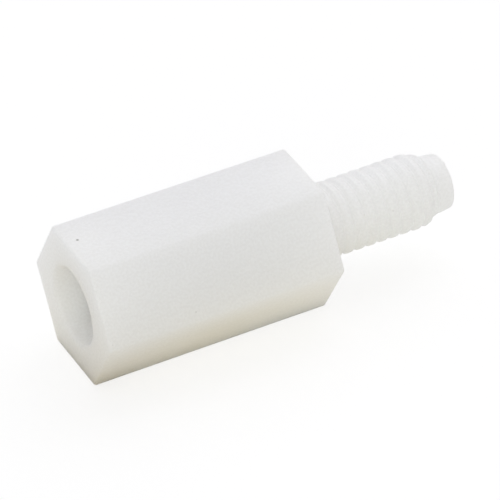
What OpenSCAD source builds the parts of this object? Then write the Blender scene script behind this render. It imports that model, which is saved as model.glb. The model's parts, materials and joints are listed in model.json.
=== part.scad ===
// Male to female hex standoff, moulded in one piece from natural nylon.
// It lies on one flat of its hexagon, as it comes to rest on a bench. X runs along its axis from the
// open end to the tip of the stud, Z is up, and the origin lies on the surface under the middle of
// the whole length. The M3 threads are shown at their crests: the stud at its outside diameter and
// the bore at its inside diameter.

/* [Hex body] */

// Distance across the flats of the hexagon
across_flats = 5.5; // [4.5:0.1:8]
// Length of the hexagonal body, which is the spacing that the part sets
body_length = 10; // [8:0.5:40]
// Radius along the six long edges
edge_radius = 0.15; // [0.05:0.05:0.5]
// Chamfer round both ends of the hexagon
end_chamfer = 0.1; // [0.05:0.05:0.3]

/* [Stud] */

// Diameter over the crests of the stud's thread
stud_d = 2.98; // [2.5:0.02:4]
// Length of the stud from the shoulder to its tip
stud_length = 6; // [3:0.5:16]
// Length of the plain point beyond the thread
point_length = 0.8; // [0.4:0.1:1.6]
// Diameter of the point where the thread ends
point_d = 2.36; // [1.6:0.02:2.48]
// Diameter of the point at its tip, a little less so that it leaves the mould
tip_d = 2.24; // [1.4:0.02:2.3]
// Chamfer round the tip
tip_chamfer = 0.06; // [0.02:0.01:0.2]

/* [Threaded bore] */

// Diameter of the bore inside the crests of its thread
bore_d = 2.5; // [2:0.05:3.3]
// Depth of the blind bore from the open end
bore_depth = 7; // [2:0.5:9]
// Diameter of the tapered mouth at the open end
mouth_d = 3.2; // [3.1:0.05:4.2]
// Angle between opposite sides of the tapered mouth
mouth_angle = 30; // [20:5:90]

/* [Hidden] */

// Round surfaces
$fn = 96;
corner_fn = 32;

// Cuts run this far past the faces that they open, and the stud starts this far inside the body
overrun = 1;

hex_sides = 6;
side_angle = 360 / hex_sides;
half_flats = across_flats / 2;
corner_centre_r = (half_flats - edge_radius) / cos(side_angle / 2);

stud_r = stud_d / 2;
point_r = point_d / 2;
tip_r = tip_d / 2;
bore_r = bore_d / 2;
mouth_r = mouth_d / 2;

// The last thread falls away to the point at half the angle of a metric thread
flank_angle = 30;
runout_length = (stud_r - point_r) * tan(flank_angle);
thread_end = stud_length - point_length;

// The taper ends where it meets the bore
mouth_depth = (mouth_r - bore_r) / tan(mouth_angle / 2);
// and its cut runs past the end face at the same angle
mouth_flare = overrun * tan(mouth_angle / 2);

total_length = body_length + stud_length;
open_end_x = -total_length / 2;

function on_circle(radius, angle) = radius * [cos(angle), sin(angle)];

// The hexagon's section, with a flat on top and round corners
module hexagon_section() {
    tangent_points = [
        for (i = [0 : hex_sides - 1])
            for (turn = [-side_angle / 2, side_angle / 2])
                on_circle(corner_centre_r, i * side_angle) + on_circle(edge_radius, i * side_angle + turn)
    ];
    polygon(tangent_points);
    for (i = [0 : hex_sides - 1])
        translate(on_circle(corner_centre_r, i * side_angle))
            circle(r = edge_radius, $fn = corner_fn);
}

// What the chamfers take off one end of the hexagon, with that end at z = 0
module end_chamfer_cuts() {
    for (i = [0 : hex_sides - 1])
        rotate([0, 0, (i + 0.5) * side_angle])
            translate([half_flats - end_chamfer, 0, 0])
                rotate([0, 45, 0])
                    translate([0, -half_flats, -end_chamfer])
                        cube([end_chamfer, across_flats, 4 * end_chamfer]);
}

// The hexagonal body, standing on its open end
module hex_body() {
    difference() {
        linear_extrude(body_length) hexagon_section();
        end_chamfer_cuts();
        translate([0, 0, body_length]) mirror([0, 0, 1]) end_chamfer_cuts();
    }
}

// The stud, from inside the body to its tip
module stud() {
    translate([0, 0, body_length])
        rotate_extrude()
            polygon([
                [0, -overrun],
                [stud_r, -overrun],
                [stud_r, thread_end - runout_length],
                [point_r, thread_end],
                [tip_r, stud_length - tip_chamfer],
                [tip_r - tip_chamfer, stud_length],
                [0, stud_length],
            ]);
}

// The room inside the threaded bore and its tapered mouth
module bore_room() {
    rotate_extrude()
        polygon([
            [0, -overrun],
            [mouth_r + mouth_flare, -overrun],
            [bore_r, mouth_depth],
            [bore_r, bore_depth],
            [0, bore_depth],
        ]);
}

module standoff() {
    color([0.93, 0.93, 0.9])
        translate([open_end_x, 0, half_flats])
            rotate([90, 0, 90])
                difference() {
                    union() {
                        hex_body();
                        stud();
                    }
                    bore_room();
                }
}

standoff();
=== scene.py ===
# %% [markdown]
# # A hex standoff in natural nylon
#
# A standoff holds a circuit board away from its case. This one is a hexagonal block with a threaded bore
# in one end and a threaded stud on the other, all moulded in one piece from uncoloured nylon. It could
# be made from a hexagonal prism and two screws joined by booleans, but booleans leave ragged faces where
# a thread meets a flat. Because the real thing is one moulding, it is built here as one closed skin,
# with both threads cut into it as real shape.

# %% Load the part's frame
import json
import math

import bmesh
import bpy
from mathutils import Matrix, Vector


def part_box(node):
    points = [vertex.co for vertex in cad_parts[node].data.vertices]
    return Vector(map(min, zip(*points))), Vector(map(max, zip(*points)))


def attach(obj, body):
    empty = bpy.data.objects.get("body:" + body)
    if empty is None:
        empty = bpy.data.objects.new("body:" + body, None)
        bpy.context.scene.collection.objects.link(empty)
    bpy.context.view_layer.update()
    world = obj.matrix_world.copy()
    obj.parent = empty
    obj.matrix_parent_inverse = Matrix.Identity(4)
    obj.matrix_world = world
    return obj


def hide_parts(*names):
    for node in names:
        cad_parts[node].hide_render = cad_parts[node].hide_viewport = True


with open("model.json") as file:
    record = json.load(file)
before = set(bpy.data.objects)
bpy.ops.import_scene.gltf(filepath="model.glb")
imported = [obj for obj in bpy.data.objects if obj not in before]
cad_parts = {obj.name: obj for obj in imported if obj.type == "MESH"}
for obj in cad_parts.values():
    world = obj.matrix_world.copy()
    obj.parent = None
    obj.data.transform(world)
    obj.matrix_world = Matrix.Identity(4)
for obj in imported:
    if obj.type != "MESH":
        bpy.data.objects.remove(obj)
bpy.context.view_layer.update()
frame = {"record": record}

# %% [markdown]
# ## Sizes
#
# Blender works in metres and this part is measured in millimetres, so one name turns millimetres into
# metres everywhere below. What the CAD model fixes is read from it: the box round the part, and the
# places and radii of its mounts. What it leaves out, such as how a thread is cut, is given where it is
# first needed. The part lies along X, with its open end at the low end of X and its stud at the high end.

# %% Read the sizes that the CAD model fixes
MM = 0.001

low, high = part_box("standoff")
mounts = {mount["name"]: mount for mount in frame["record"]["mounts"]}

open_end_x = mounts["open_end"]["pos_m"][0]
shoulder_x = mounts["shoulder"]["pos_m"][0]
tip_x = high.x
axis_z = mounts["stud"]["pos_m"][2]
half_flats = (high.z - low.z) / 2
stud_crest_r = mounts["stud"]["dims"]["r_mm"] * MM
bore_crest_r = mounts["bore"]["dims"]["r_mm"] * MM

print(f"block {(shoulder_x - open_end_x) / MM:.1f} mm long, {2 * half_flats / MM:.2f} mm across its flats")
print(f"stud {(tip_x - shoulder_x) / MM:.1f} mm long, {2 * stud_crest_r / MM:.2f} mm over its thread")

# %% [markdown]
# ## The skin, ring by ring
#
# The part is nearly a turned shape: everything is a ring round one axis, and only the block is a
# hexagon. A skin like that can be grown ring by ring, if every ring has the same number of points. It
# starts in the middle of the bore's floor, comes out of the bore, turns over the open end, runs along
# the block, crosses the shoulder and ends in the middle of the stud's tip. Light that scatters inside
# the plastic needs a closed skin with no walls inside it, and this one has none.

# %% Grow a skin from rings
POINTS = 192

skin = bmesh.new()
grown = []


def angle_of(j):
    """The angle of the ring's point number j, counted from +Y towards +Z."""
    return math.tau * j / POINTS


def add_ring(places):
    """Add a ring of points, each given by its x and its place across the axis."""
    return [skin.verts.new((x, across.x, axis_z + across.y)) for x, across in places]


def on_circle(radius, angle):
    return Vector((radius * math.cos(angle), radius * math.sin(angle)))


def round_ring(x, radius):
    return add_ring((x, on_circle(radius, angle_of(j))) for j in range(POINTS))


def join(ring_a, ring_b):
    """Fill the band between two rings with four-sided faces."""
    for j in range(POINTS):
        k = (j + 1) % POINTS
        skin.faces.new((ring_a[j], ring_b[j], ring_b[k], ring_a[k]))


def grow(ring):
    """Join a ring to the last one that was grown."""
    if grown:
        join(grown[-1], ring)
    grown.append(ring)


def close_with_point(ring, x):
    """Close a ring with a flat fan to one point on the axis."""
    middle = skin.verts.new((x, 0, axis_z))
    for j in range(POINTS):
        skin.faces.new((ring[j], ring[(j + 1) % POINTS], middle))


def quarter_turn(steps):
    """The sine, and one minus the cosine, at each step of a quarter circle."""
    for step in range(1, steps + 1):
        turn = math.pi / 2 * step / steps
        yield math.sin(turn), 1 - math.cos(turn)


print(f"every ring has {POINTS} points")

# %% [markdown]
# ## The hexagon's section
#
# A mould for nylon has no sharp inside corners, because the plastic wouldn't fill them, so the block's
# long edges are round. Its section could be a hexagon with a Bevel modifier on it, but then its points
# wouldn't line up with the round rings. Instead it is drawn as six small arcs joined by six flats, with
# the same number of points on each. A smaller radius and flats that are moved in by as much give the
# same section a little further in, and that is how the block's ends are rounded over.

# %% Points round the hexagon
SIDES = 6
PER_SIDE = POINTS // SIDES
HALF_TURN = math.pi / SIDES
EDGE_RADIUS = 0.15 * MM
HALF_ARC_STEPS = 6
FLAT_STEPS = PER_SIDE - 2 * HALF_ARC_STEPS

corner_reach = (half_flats - EDGE_RADIUS) / math.cos(HALF_TURN)
print(f"hexagon {2 * (corner_reach + EDGE_RADIUS) / MM:.2f} mm across its corners")


def corner_point(side, turn, inset):
    """A point on the arc at a corner, turned away from the corner's own direction."""
    corner = math.tau * side / SIDES
    return on_circle(corner_reach, corner) + on_circle(EDGE_RADIUS - inset, corner + turn)


def hexagon_point(j, inset):
    side, step = divmod(j, PER_SIDE)
    if step <= HALF_ARC_STEPS:
        return corner_point(side, HALF_TURN * step / HALF_ARC_STEPS, inset)
    if step >= PER_SIDE - HALF_ARC_STEPS:
        return corner_point(side + 1, -HALF_TURN * (PER_SIDE - step) / HALF_ARC_STEPS, inset)
    first = corner_point(side, HALF_TURN, inset)
    last = corner_point(side + 1, -HALF_TURN, inset)
    return first.lerp(last, (step - HALF_ARC_STEPS) / FLAT_STEPS)


def hexagon_ring(x, inset=0.0):
    return add_ring((x, hexagon_point(j, inset)) for j in range(POINTS))


# %% [markdown]
# ## The thread's ridge
#
# Both threads are M3: one ridge wound round the axis, half a millimetre further along at each turn. A
# moulded ridge has straight flanks, but its crest and its root come out a little soft. The ridge's
# height is a function of the phase, which is how far along one pitch a point is, counted from the crest.
# The flanks are a straight ramp, mixed with a smooth one that rounds the crest and the root.

# %% The height of a ridge
PITCH = 0.5 * MM
CREST_SHARE = 0.34
ROOT_SHARE = 0.06
SOFTNESS = 0.7


def smooth_ramp(value):
    value = min(max(value, 0.0), 1.0)
    return value * value * (3 - 2 * value)


def ease(value, start, end):
    """0 before the start, 1 after the end, and a smooth rise between them."""
    return smooth_ramp((value - start) / (end - start))


def ridge_height(phase):
    """The height from 0 at the root to 1 at the crest, where phase 0 is the middle of the crest."""
    from_crest = abs((phase + 0.5) % 1.0 - 0.5)
    root_from = 0.5 - ROOT_SHARE / 2
    ramp = (root_from - from_crest) / (root_from - CREST_SHARE / 2)
    ramp = min(max(ramp, 0.0), 1.0)
    return (1 - SOFTNESS) * ramp + SOFTNESS * smooth_ramp(ramp)


print("ridge height across half a pitch:", [round(ridge_height(step / 10), 2) for step in range(6)])

# %% [markdown]
# ## Winding the thread
#
# If a thread's rings were square to the axis, the ridge would cross them at a slant and look jagged. A
# Screw modifier follows the helix well, but it leaves open ends to be joined by hand. So here each row
# of points follows the helix itself: it moves along by one pitch as it goes round, and its end joins the
# start of the row one turn on. The rows then lie exactly along crest, flank and root. Past either end of
# the thread, a row's points are held at the last plain ring, so the band starts and stops square.

# %% Wind a band of rows along a helix
SPARE_TURNS = 2
NEAREST_SHARE = 0.2


def helix_rows(first_ring, last_ring, crest_x, rows_per_turn, radius_at):
    """Rows of points along a right-handed helix, held at the two plain rings past either end."""
    first_x = first_ring[0].co.x
    last_x = last_ring[0].co.x
    nearest = NEAREST_SHARE * PITCH / rows_per_turn
    first_turn = math.floor((first_x - crest_x) / PITCH) - SPARE_TURNS
    last_turn = math.ceil((last_x - crest_x) / PITCH) + SPARE_TURNS
    rows = []
    for step in range(first_turn * rows_per_turn, last_turn * rows_per_turn):
        phase = step / rows_per_turn
        row = []
        for j in range(POINTS):
            x = crest_x + PITCH * (phase + j / POINTS)
            if x < first_x + nearest:
                row.append(first_ring[j])
            elif x > last_x - nearest:
                row.append(last_ring[j])
            else:
                place = on_circle(radius_at(x, ridge_height(phase)), angle_of(j))
                row.append(skin.verts.new((x, place.x, axis_z + place.y)))
        rows.append(row)
    return rows


def wind(first_ring, last_ring, crest_x, rows_per_turn, radius_at):
    """Fill the band between two plain rings with a thread."""
    rows = helix_rows(first_ring, last_ring, crest_x, rows_per_turn, radius_at)
    for i in range(len(rows) - 1):
        one_turn_on = min(i + rows_per_turn, len(rows) - 2)
        for j in range(POINTS):
            if j + 1 < POINTS:
                beside, beside_next = rows[i][j + 1], rows[i + 1][j + 1]
            else:
                beside, beside_next = rows[one_turn_on][0], rows[one_turn_on + 1][0]
            corners = []
            for corner in (rows[i][j], rows[i + 1][j], beside_next, beside):
                if corner not in corners:
                    corners.append(corner)
            if len(corners) > 2:
                skin.faces.new(corners)


# %% [markdown]
# ## The bore
#
# The bore is blind: it stops inside the block. Its far end is hidden in the real part, so it is finished
# plainly, with a flat floor and a small round corner, and half a millimetre of plain wall where the
# thread fades out. The bore's thread is cut outwards, into the wall.

# %% Make the bore's floor and the plain wall above it
BORE_DEPTH = 7.0 * MM
FLOOR_ROUNDING = 0.12 * MM
FLOOR_STEPS = 3
PLAIN_WALL = 0.5 * MM

floor_x = open_end_x + BORE_DEPTH
bore_thread_end_x = floor_x - PLAIN_WALL

grow(round_ring(floor_x, bore_crest_r - FLOOR_ROUNDING))
close_with_point(grown[-1], floor_x)
for rise, fall in quarter_turn(FLOOR_STEPS):
    grow(round_ring(floor_x - FLOOR_ROUNDING * fall, bore_crest_r - FLOOR_ROUNDING * (1 - rise)))
wall_ring = round_ring(bore_thread_end_x, bore_crest_r)
grow(wall_ring)
print(f"bore floor {BORE_DEPTH / MM:.1f} mm in, with {(shoulder_x - floor_x) / MM:.1f} mm solid behind it")

# %% [markdown]
# ## The mouth and the bore's thread
#
# The mouth is a slim cone, so that a screw finds its way in and the mould's core pin pulls out easily.
# The cone cuts the first ridges away. That needs no boolean: at each place along the bore the wall is at
# the cone or at the thread, whichever is further out. The lip between the cone and the end face is a
# small arc.

# %% Make the mouth and wind the bore's thread
MOUTH_R = 1.6 * MM
MOUTH_HALF_ANGLE = math.radians(15)
LIP_RADIUS = 0.15 * MM
LIP_STEPS = 4
BORE_THREAD_DEPTH = 0.16 * MM
BORE_ROWS = 12

lip_turn = math.pi / 2 - MOUTH_HALF_ANGLE
lip_reach = LIP_RADIUS * math.tan(lip_turn / 2)


def lip_ring(turn):
    """A ring on the lip's arc, from turn 0 on the end face to the full turn on the cone."""
    x = open_end_x + LIP_RADIUS * (1 - math.cos(turn))
    return round_ring(x, MOUTH_R + lip_reach - LIP_RADIUS * math.sin(turn))


def bore_radius(x, height):
    fade = 1 - ease(x, bore_thread_end_x - PITCH, bore_thread_end_x)
    cone = MOUTH_R - (x - open_end_x) * math.tan(MOUTH_HALF_ANGLE)
    return max(bore_crest_r + BORE_THREAD_DEPTH * (1 - height) * fade, cone)


mouth_ring = lip_ring(lip_turn)
wind(mouth_ring, wall_ring, open_end_x, BORE_ROWS, bore_radius)
grown.append(mouth_ring)
for step in range(LIP_STEPS - 1, -1, -1):
    grow(lip_ring(lip_turn * step / LIP_STEPS))
print(f"mouth {2 * MOUTH_R / MM:.2f} mm wide, bore thread {BORE_THREAD_DEPTH / MM:.2f} mm deep")

# %% [markdown]
# ## The block
#
# The flat end face is a set of rings that change from the round lip to the hexagon. From there the skin
# rolls over a small radius on to the six sides, runs to the far end, rolls over again, and comes back
# in across the shoulder, changing from the hexagon to the round root of the stud.

# %% Make the open end, the sides and the shoulder
END_RADIUS = 0.10 * MM
END_STEPS = 5
FACE_STEPS = 5
SIDE_STEPS = 24
STUD_ROOT_R = 1.36 * MM
ROOT_FILLET = 0.08 * MM


def face_ring(x, radius, share):
    """A ring part of the way from a circle to the hexagon, for the block's end faces."""
    return add_ring(
        (x, on_circle(radius, angle_of(j)).lerp(hexagon_point(j, END_RADIUS), share))
        for j in range(POINTS)
    )


for step in range(1, FACE_STEPS + 1):
    grow(face_ring(open_end_x, MOUTH_R + lip_reach, step / FACE_STEPS))
for rise, fall in quarter_turn(END_STEPS):
    grow(hexagon_ring(open_end_x + END_RADIUS * fall, END_RADIUS * (1 - rise)))
side_start = open_end_x + END_RADIUS
side_end = shoulder_x - END_RADIUS
for step in range(1, SIDE_STEPS + 1):
    grow(hexagon_ring(side_start + (side_end - side_start) * step / SIDE_STEPS))
for rise, fall in quarter_turn(END_STEPS):
    grow(hexagon_ring(shoulder_x - END_RADIUS * (1 - rise), END_RADIUS * fall))
for step in range(1, FACE_STEPS + 1):
    grow(face_ring(shoulder_x, STUD_ROOT_R + ROOT_FILLET, 1 - step / FACE_STEPS))
print(f"block grown to {len(grown)} rings")

# %% [markdown]
# ## The stud
#
# The stud starts with a small fillet, which stops it snapping at the shoulder. Its ridge rises out of
# the root within the first turn, and stops short of the tip. The last crest ends at one place on the
# stud's side, so the ridge looks a half turn longer on one side than on the other. That place sets how
# the whole helix is turned, and it is worth getting right, since the outline shows it.

# %% Make the stud's root and wind its thread
LAST_CREST_X = 7.11 * MM
LAST_CREST_TURN = 50.9 / 360
RUN_IN = 0.6 * PITCH
RUNOUT = 0.2 * MM
PAST_LAST_CREST = 0.25 * MM
POINT_R = 1.18 * MM
STUD_ROWS = 16
FILLET_STEPS = 4

stud_crest_x = LAST_CREST_X - LAST_CREST_TURN * PITCH
thread_start_x = shoulder_x + ROOT_FILLET
point_x = LAST_CREST_X + PAST_LAST_CREST


def stud_radius(x, height):
    core = STUD_ROOT_R + (POINT_R - STUD_ROOT_R) * ease(x, LAST_CREST_X - PITCH, LAST_CREST_X + RUNOUT)
    run_in = ease(x, thread_start_x, thread_start_x + RUN_IN)
    run_out = 1 - ease(x, LAST_CREST_X, LAST_CREST_X + RUNOUT)
    return core + (stud_crest_r - STUD_ROOT_R) * height * run_in * run_out


for rise, fall in quarter_turn(FILLET_STEPS):
    grow(round_ring(shoulder_x + ROOT_FILLET * fall, STUD_ROOT_R + ROOT_FILLET * (1 - rise)))
point_ring = round_ring(point_x, POINT_R)
wind(grown[-1], point_ring, stud_crest_x, STUD_ROWS, stud_radius)
grown.append(point_ring)
print(f"stud thread {(stud_crest_r - STUD_ROOT_R) / MM:.2f} mm deep, root radius {STUD_ROOT_R / MM:.2f} mm")

# %% [markdown]
# ## The point
#
# Past the thread, a plain point leads the stud into its hole. It tapers slightly, so that it leaves the
# mould, and its rim is barely rounded. Where the two halves of the mould met, a small tag of flash was
# left on the rim. It is a local bump: each ring's radius grows by a bell-shaped amount near one angle.

# %% Make the point, with its tag of flash
TIP_R = 1.12 * MM
TIP_ROUNDING = 0.06 * MM
TIP_STEPS = 4
TIP_FLAT_R = TIP_R - 2.5 * TIP_ROUNDING
POINT_STEPS = 8
POINT_CROWDING = 0.6
FLASH_ANGLE = math.radians(106)
FLASH_HALF_WIDTH = math.radians(5)
FLASH_HEIGHT = 0.06 * MM
FLASH_LENGTH = 0.14 * MM

point_end_x = tip_x - TIP_ROUNDING


def bell(distance, half_width):
    return math.exp(-((distance / half_width) ** 2))


def point_ring_at(x, radius):
    """A round ring with the tag of flash on it where it is near the rim."""
    height = FLASH_HEIGHT * bell(x - point_end_x, FLASH_LENGTH)
    places = []
    for j in range(POINTS):
        bump = height * bell(angle_of(j) - FLASH_ANGLE, FLASH_HALF_WIDTH)
        places.append((x, on_circle(radius + bump, angle_of(j))))
    return add_ring(places)


for step in range(1, POINT_STEPS + 1):
    share = (step / POINT_STEPS) ** POINT_CROWDING
    grow(point_ring_at(point_x + (point_end_x - point_x) * share, POINT_R + (TIP_R - POINT_R) * share))
for rise, fall in quarter_turn(TIP_STEPS):
    grow(point_ring_at(point_end_x + TIP_ROUNDING * rise, TIP_R - TIP_ROUNDING * fall))
grow(round_ring(tip_x, TIP_FLAT_R))
close_with_point(grown[-1], tip_x)
print(f"point {(tip_x - point_x) / MM:.2f} mm long, flash {FLASH_HEIGHT / MM:.2f} mm high")

# %% [markdown]
# ## One closed mesh
#
# Before the skin becomes an object, it is checked. Every edge must have exactly two faces, or light
# would leak out of the plastic, and the volume should be close to that of the real part. Smooth shading
# suits it all, since every edge has its own small arc.

# %% Turn the skin into an object
bmesh.ops.recalc_face_normals(skin, faces=skin.faces)
open_edges = [edge for edge in skin.edges if len(edge.link_faces) != 2]
triangles = sum(len(face.verts) - 2 for face in skin.faces)
print(f"skin: {len(skin.verts)} points, {triangles} triangles, {len(open_edges)} open edges")
print(f"volume {skin.calc_volume() / MM ** 3:.1f} mm3")

mesh = bpy.data.meshes.new("nylon_standoff")
skin.to_mesh(mesh)
skin.free()
mesh.polygons.foreach_set("use_smooth", [True] * len(mesh.polygons))
standoff = bpy.data.objects.new("nylon_standoff", mesh)
bpy.context.scene.collection.objects.link(standoff)

# %% [markdown]
# ## Soft edges
#
# On clear or painted plastic, the shading changes at once where one side of a hexagon meets the next.
# On milky nylon the change is spread over most of a side, because light wanders through the plastic
# before it comes out. The scattering below does part of that. The rest is done with the normals, which
# say which way a surface faces when it is lit: on the six sides they lean part of the way from straight
# out of the flat towards straight out from the axis. The shape itself stays flat.

# %% Lean the normals of the six sides towards their edges
LEAN = 0.65
SIDES_FROM_R = 2.3 * MM


def leaned(point):
    """The normal at a point of the mesh, leaned outwards from the axis if it is on the block."""
    outward = Vector((0, point.co.y, point.co.z - axis_z))
    if outward.length < SIDES_FROM_R:
        return point.normal.copy()
    across = Vector((0, point.normal.y, point.normal.z))
    turned = across.normalized().lerp(outward.normalized(), LEAN).normalized() * across.length
    return Vector((point.normal.x, turned.y, turned.z)).normalized()


mesh.normals_split_custom_set_from_vertices([leaned(point) for point in mesh.vertices])
print(f"normals leaned {LEAN:.0%} of the way over the six sides")

# %% [markdown]
# ## Natural nylon: the body of the plastic
#
# Uncoloured nylon is milky. Light goes a millimetre or two into it and comes out somewhere else, which
# softens its shading and lets thin walls glow. A plain diffuse surface would look like painted wood, and
# glass would look wet. The Principled shader's subsurface scattering does what the plastic does. Its
# radius is the same for red, green and blue, because the haze in nylon scatters them alike. The slight
# yellow comes from the colour itself.

# %% Helpers for nodes
NOISE_DETAIL = 3.0


def new_node(tree, kind, **settings):
    node = tree.nodes.new(kind)
    for name, value in settings.items():
        setattr(node, name, value)
    return node


def range_node(tree, source, from_range, to_range, kind="SMOOTHSTEP"):
    """A Map Range node fed by a socket."""
    node = new_node(tree, "ShaderNodeMapRange", interpolation_type=kind)
    for name, value in zip(("From Min", "From Max", "To Min", "To Max"), (*from_range, *to_range)):
        node.inputs[name].default_value = value
    tree.links.new(source, node.inputs["Value"])
    return node.outputs["Result"]


def math_node(tree, operation, first, second):
    """A Math node on two sockets, or on a socket and a number."""
    node = new_node(tree, "ShaderNodeMath", operation=operation)
    for socket, value in zip(node.inputs, (first, second)):
        if isinstance(value, (int, float)):
            socket.default_value = value
        else:
            tree.links.new(value, socket)
    return node.outputs[0]


def mix_colour(tree, factor, first, second):
    node = new_node(tree, "ShaderNodeMix", data_type="RGBA")
    tree.links.new(factor, node.inputs[0])
    for socket, value in zip((node.inputs[6], node.inputs[7]), (first, second)):
        if isinstance(value, tuple):
            socket.default_value = value
        else:
            tree.links.new(value, socket)
    return node.outputs[2]


def stretched_noise(tree, coordinates, per_mm):
    """Noise that repeats about so many times in a millimetre, along each axis."""
    stretch = new_node(tree, "ShaderNodeMapping")
    stretch.inputs["Scale"].default_value = [count / MM for count in per_mm]
    tree.links.new(coordinates, stretch.inputs["Vector"])
    noise = new_node(tree, "ShaderNodeTexNoise")
    noise.inputs["Scale"].default_value = 1.0
    noise.inputs["Detail"].default_value = NOISE_DETAIL
    tree.links.new(stretch.outputs[0], noise.inputs["Vector"])
    return noise.outputs["Fac"]


# %% [markdown]
# ## Natural nylon: haze, grain and specks
#
# Three things keep the plastic from looking computer-made. Haze: nylon sets a little milkier in some
# places than in others, drawn out along the way it flowed into the mould. Grain: the mould's walls were
# spark-eroded, so the surface has a very fine, even grain. Specks: a few dark grains of dirt or burnt
# nylon are always moulded in, and each has its own place in the part, a size and a strength. All of it
# is worked out from the place on the part, so it stays put from every side.

# %% Make natural nylon
NYLON_CLEAR = (0.950, 0.946, 0.924, 1)
NYLON_MILKY = (1.000, 0.996, 0.976, 1)
HAZE_PER_MM = (0.25, 0.8, 0.8)
GRAIN_PER_MM = (9.0, 9.0, 9.0)
GRAIN_SHARE = 0.95
MILKY_RANGE = (0.40, 0.60)
SATIN_RANGE = (0.3, 0.7)
NYLON_ROUGHNESS = (0.42, 0.56)
BUMPS_PER_MM = (16.0, 16.0, 16.0)
BUMP_STRENGTH = 0.5
BUMP_HEIGHT = 0.006 * MM
NYLON_IOR = 1.53
SCATTER_RADIUS = (1.0, 1.0, 1.0)
SCATTER_SCALE = 1.5 * MM
SPECK_CORE_SHARE = 0.3
SPECK_COLOUR = (0.22, 0.20, 0.17, 1)
SPECKS = [
    (Vector((-7.51, 0.35, 5.50)), 0.080, 0.75),
    (Vector((-7.85, -3.02, 2.95)), 0.060, 0.30),
    (Vector((-4.30, -2.97, 3.10)), 0.050, 0.25),
    (Vector((3.93, -1.26, 3.47)), 0.070, 0.35),
    (Vector((5.11, -1.36, 3.26)), 0.060, 0.20),
]


def spots(tree, coordinates, list_of_spots, core_share, where_they_meet):
    """How far a place is covered by soft round spots: each has a place, a radius in mm and a strength."""
    cover = 0.0
    for place, radius_mm, strength in list_of_spots:
        away = new_node(tree, "ShaderNodeVectorMath", operation="DISTANCE")
        away.inputs[1].default_value = place * MM
        tree.links.new(coordinates, away.inputs[0])
        radius = radius_mm * MM
        one = range_node(tree, away.outputs["Value"], (core_share * radius, radius), (strength, 0.0))
        cover = math_node(tree, where_they_meet, one, cover)
    return cover


def natural_nylon():
    material = bpy.data.materials.new("natural_nylon")
    material.use_nodes = True
    tree = material.node_tree
    shader = tree.nodes["Principled BSDF"]
    place = new_node(tree, "ShaderNodeTexCoord").outputs["Object"]

    haze = stretched_noise(tree, place, HAZE_PER_MM)
    grain = stretched_noise(tree, place, GRAIN_PER_MM)
    faded_haze = math_node(tree, "MULTIPLY", haze, 1.0 - GRAIN_SHARE)
    milkiness = math_node(tree, "ADD", faded_haze, math_node(tree, "MULTIPLY", grain, GRAIN_SHARE))
    milky = range_node(tree, milkiness, MILKY_RANGE, (0.0, 1.0), "LINEAR")
    plastic = mix_colour(tree, milky, NYLON_CLEAR, NYLON_MILKY)
    specks = spots(tree, place, SPECKS, SPECK_CORE_SHARE, "MAXIMUM")
    colour = mix_colour(tree, specks, plastic, SPECK_COLOUR)
    tree.links.new(colour, shader.inputs["Base Color"])

    satin = range_node(tree, grain, SATIN_RANGE, NYLON_ROUGHNESS, "LINEAR")
    tree.links.new(satin, shader.inputs["Roughness"])

    fine_grain = stretched_noise(tree, place, BUMPS_PER_MM)
    bump = new_node(tree, "ShaderNodeBump")
    bump.inputs["Strength"].default_value = BUMP_STRENGTH
    bump.inputs["Distance"].default_value = BUMP_HEIGHT
    tree.links.new(fine_grain, bump.inputs["Height"])
    tree.links.new(bump.outputs["Normal"], shader.inputs["Normal"])

    shader.inputs["IOR"].default_value = NYLON_IOR
    shader.inputs["Subsurface Weight"].default_value = 1.0
    shader.inputs["Subsurface Radius"].default_value = SCATTER_RADIUS
    shader.inputs["Subsurface Scale"].default_value = SCATTER_SCALE
    print(f"natural nylon: {len(tree.nodes)} nodes, {len(SPECKS)} specks")
    return material


standoff.data.materials.append(natural_nylon())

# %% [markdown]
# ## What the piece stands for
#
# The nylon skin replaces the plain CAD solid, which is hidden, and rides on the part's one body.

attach(standoff, "root")
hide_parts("standoff")
print("pieces:", standoff.name)

# %% [markdown]
# ## The table
#
# The part lies on plain pale paper, a hair below it, so that no two faces share a plane. To the camera
# the paper is white with a soft shadow: most of its brightness is a glow that only the camera and
# mirror-like rays see, and the rest is an ordinary surface that the part's shadow can darken. Light that
# bounces up into the plastic sees ordinary paper instead. It is nearly white far off, with two soft
# shadows painted on it beside the open end and warm shade painted by the open end and along the front,
# so that the underside is darker and warmer than the top, as it is on a real bench.

# %% Make the table
FLOOR_DROP = 0.01 * MM
FLOOR_REACH = 3.0
PAPER_LIGHT = (0.99, 0.985, 0.95, 1)
# Painted shadow: a dark colour, and two soft patches of it beside the open end, seen only by light bouncing
# up into the plastic
PAPER_PAINTED_SHADOW = (0.13, 0.08, 0.05, 1)
# Painted warm shade: a warm colour, and soft patches of it by the open end and along the front, which
# darken and warm the underside
PAPER_PAINTED_WARM_SHADE = (0.90, 0.65, 0.05, 1)
PAINTED_PAPER_SHADOWS = [
    (Vector((-10.0, -6.0, 0.0)), 9.0, 0.41),
    (Vector((-9.6, -2.6, 0.0)), 4.5, 0.65),
]
PAINTED_PAPER_WARM_SHADES = [
    (Vector((-10.5, -2.0, 0.0)), 9.0, 0.40),
    (Vector((-3.0, -4.5, 0.0)), 5.0, 0.46),
    (Vector((2.0, -4.5, 0.0)), 4.5, 0.34),
]
SHADOW_SHARE = 0.35
# A little less than the lamps below give, so that the open table is fully white
LIGHT_ON_TABLE = 0.8


def seen_directly(tree):
    """1 for rays that show a surface to the eye, and 0 for rays that carry its light elsewhere."""
    path = new_node(tree, "ShaderNodeLightPath").outputs
    mirrored = math_node(tree, "MAXIMUM", path["Is Glossy Ray"], path["Is Transmission Ray"])
    return math_node(tree, "MAXIMUM", path["Is Camera Ray"], mirrored)


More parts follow.
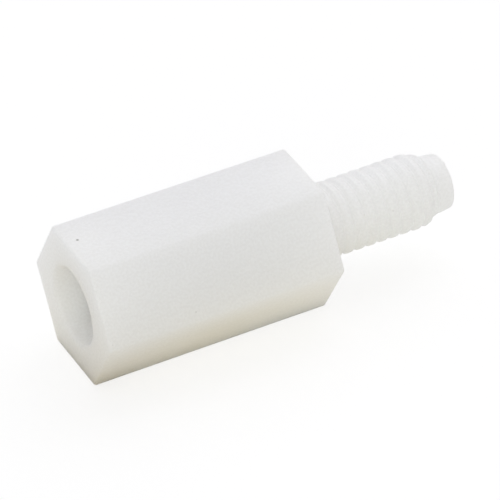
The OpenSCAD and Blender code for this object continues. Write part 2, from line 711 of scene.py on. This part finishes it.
def choose_shader(tree, factor, first, second):
    node = new_node(tree, "ShaderNodeMixShader")
    for socket, source in zip(node.inputs, (factor, first, second)):
        tree.links.new(source, socket)
    return node.outputs[0]


def diffuse(tree, colour):
    node = new_node(tree, "ShaderNodeBsdfDiffuse")
    if isinstance(colour, tuple):
        node.inputs["Color"].default_value = colour
    else:
        tree.links.new(colour, node.inputs["Color"])
    return node.outputs[0]


def table_paper():
    material = bpy.data.materials.new("table_paper")
    material.use_nodes = True
    tree = material.node_tree
    tree.nodes.clear()
    output = new_node(tree, "ShaderNodeOutputMaterial")

    place = new_node(tree, "ShaderNodeTexCoord").outputs["Object"]
    # The paper that lights the part from below carries painted shadows and painted warm shade
    paper_with_painted_shadow = mix_colour(tree, spots(tree, place, PAINTED_PAPER_SHADOWS, 0.0, "ADD"), PAPER_LIGHT, PAPER_PAINTED_SHADOW)
    painted_warm_shade = spots(tree, place, PAINTED_PAPER_WARM_SHADES, 0.0, "ADD")
    paper = diffuse(tree, mix_colour(tree, painted_warm_shade, paper_with_painted_shadow, PAPER_PAINTED_WARM_SHADE))

    glow = new_node(tree, "ShaderNodeEmission")
    glow.inputs["Strength"].default_value = 1.0 - SHADOW_SHARE * LIGHT_ON_TABLE
    shaded = diffuse(tree, (SHADOW_SHARE, SHADOW_SHARE, SHADOW_SHARE, 1))
    white = new_node(tree, "ShaderNodeAddShader")
    tree.links.new(glow.outputs[0], white.inputs[0])
    tree.links.new(shaded, white.inputs[1])

    shown = choose_shader(tree, seen_directly(tree), paper, white.outputs[0])
    tree.links.new(shown, output.inputs["Surface"])
    return material


floor_mesh = bpy.data.meshes.new("table")
corners = [(-1, -1), (1, -1), (1, 1), (-1, 1)]
places = [(x * FLOOR_REACH, y * FLOOR_REACH, -FLOOR_DROP) for x, y in corners]
floor_mesh.from_pydata(places, [], [(0, 1, 2, 3)])
floor = bpy.data.objects.new("table", floor_mesh)
bpy.context.scene.collection.objects.link(floor)
floor.data.materials.append(table_paper())
print(f"table {2 * FLOOR_REACH:.0f} m wide")

# %% [markdown]
# ## The light
#
# A white studio lights the part from all round, at a level where a colour renders about as it is
# written. On top of that come three large soft lamps: a weak one low at the back left, one low at the
# front left, and one high at the back right. Sun lamps are used, with a wide angle, because a lamp far
# away lights a small part evenly and needs no placing. To the camera and in reflections, the studio's
# wall is plain white.

# %% Light the studio
DOME_LEVEL = 0.571
DOME_COLOUR = (1.0, 0.968, 0.955, 1)
LEFT_LEVEL = 0.103
FRONT_LEVEL = 0.181
BACK_LEVEL = 0.258
LAMP_ANGLE = math.radians(60)
SOFTBOXES = {
    "softbox_left": (Vector((-0.837, 0.483, 0.259)), LEFT_LEVEL, (0.67, 0.80, 1.0)),
    "softbox_front": (Vector((-0.483, -0.837, 0.259)), FRONT_LEVEL, (0.89, 1.0, 0.93)),
    "softbox_back": (Vector((0.455, 0.455, 0.766)), BACK_LEVEL, (0.89, 0.926, 1.0)),
}


def background(tree, colour, strength):
    node = new_node(tree, "ShaderNodeBackground")
    node.inputs["Color"].default_value = colour
    node.inputs["Strength"].default_value = strength
    return node.outputs[0]


studio = bpy.data.worlds.new("white_studio")
bpy.context.scene.world = studio
studio.use_nodes = True
tree = studio.node_tree
tree.nodes.clear()
output = new_node(tree, "ShaderNodeOutputWorld")
dome = background(tree, DOME_COLOUR, DOME_LEVEL)
backdrop = background(tree, (1, 1, 1, 1), 1.0)
tree.links.new(choose_shader(tree, seen_directly(tree), dome, backdrop), output.inputs["Surface"])

for name, (direction, level, colour) in SOFTBOXES.items():
    lamp = bpy.data.lights.new(name, "SUN")
    lamp.energy = level * math.pi
    lamp.color = colour
    lamp.angle = LAMP_ANGLE
    softbox = bpy.data.objects.new(name, lamp)
    softbox.rotation_mode = "QUATERNION"
    softbox.rotation_quaternion = direction.to_track_quat("Z", "Y")
    bpy.context.scene.collection.objects.link(softbox)
top_light = DOME_LEVEL + sum(level * direction.z for direction, level, colour in SOFTBOXES.values())
print(f"light on a level surface: {top_light:.2f}")

# %% [markdown]
# ## The camera
#
# The camera looks down on the part from its front left, from about 18 cm, with a long lens. It is
# placed by an aim point on the part, the two angles and the distance from there, and a small roll.

# %% Place the camera
CAMERA_AZIMUTH = math.radians(-27.5931)
CAMERA_ELEVATION = math.radians(37.8189)
CAMERA_ROLL = math.radians(-1.1314)
CAMERA_DISTANCE = 179.287 * MM
AIM = Vector((-0.794, -0.725, 3.188)) * MM
SENSOR_MM = 36
LENS_MM = 338.95

lens = bpy.data.cameras.new("camera")
lens.sensor_width = SENSOR_MM
lens.lens = LENS_MM
lens.clip_start = 0.01
lens.clip_end = 10
camera = bpy.data.objects.new("camera", lens)
back = Vector((
    math.sin(CAMERA_AZIMUTH) * math.cos(CAMERA_ELEVATION),
    -math.cos(CAMERA_AZIMUTH) * math.cos(CAMERA_ELEVATION),
    math.sin(CAMERA_ELEVATION),
))
level_view = (-back).to_track_quat("-Z", "Y").to_matrix()
roll = Matrix.Rotation(CAMERA_ROLL, 3, "Z")
camera.matrix_world = Matrix.Translation(AIM + back * CAMERA_DISTANCE) @ (level_view @ roll).to_4x4()
bpy.context.scene.collection.objects.link(camera)
bpy.context.scene.camera = camera
bpy.context.scene.view_settings.view_transform = "Standard"
print(f"camera at {tuple(round(value / MM, 1) for value in camera.matrix_world.translation)} mm")
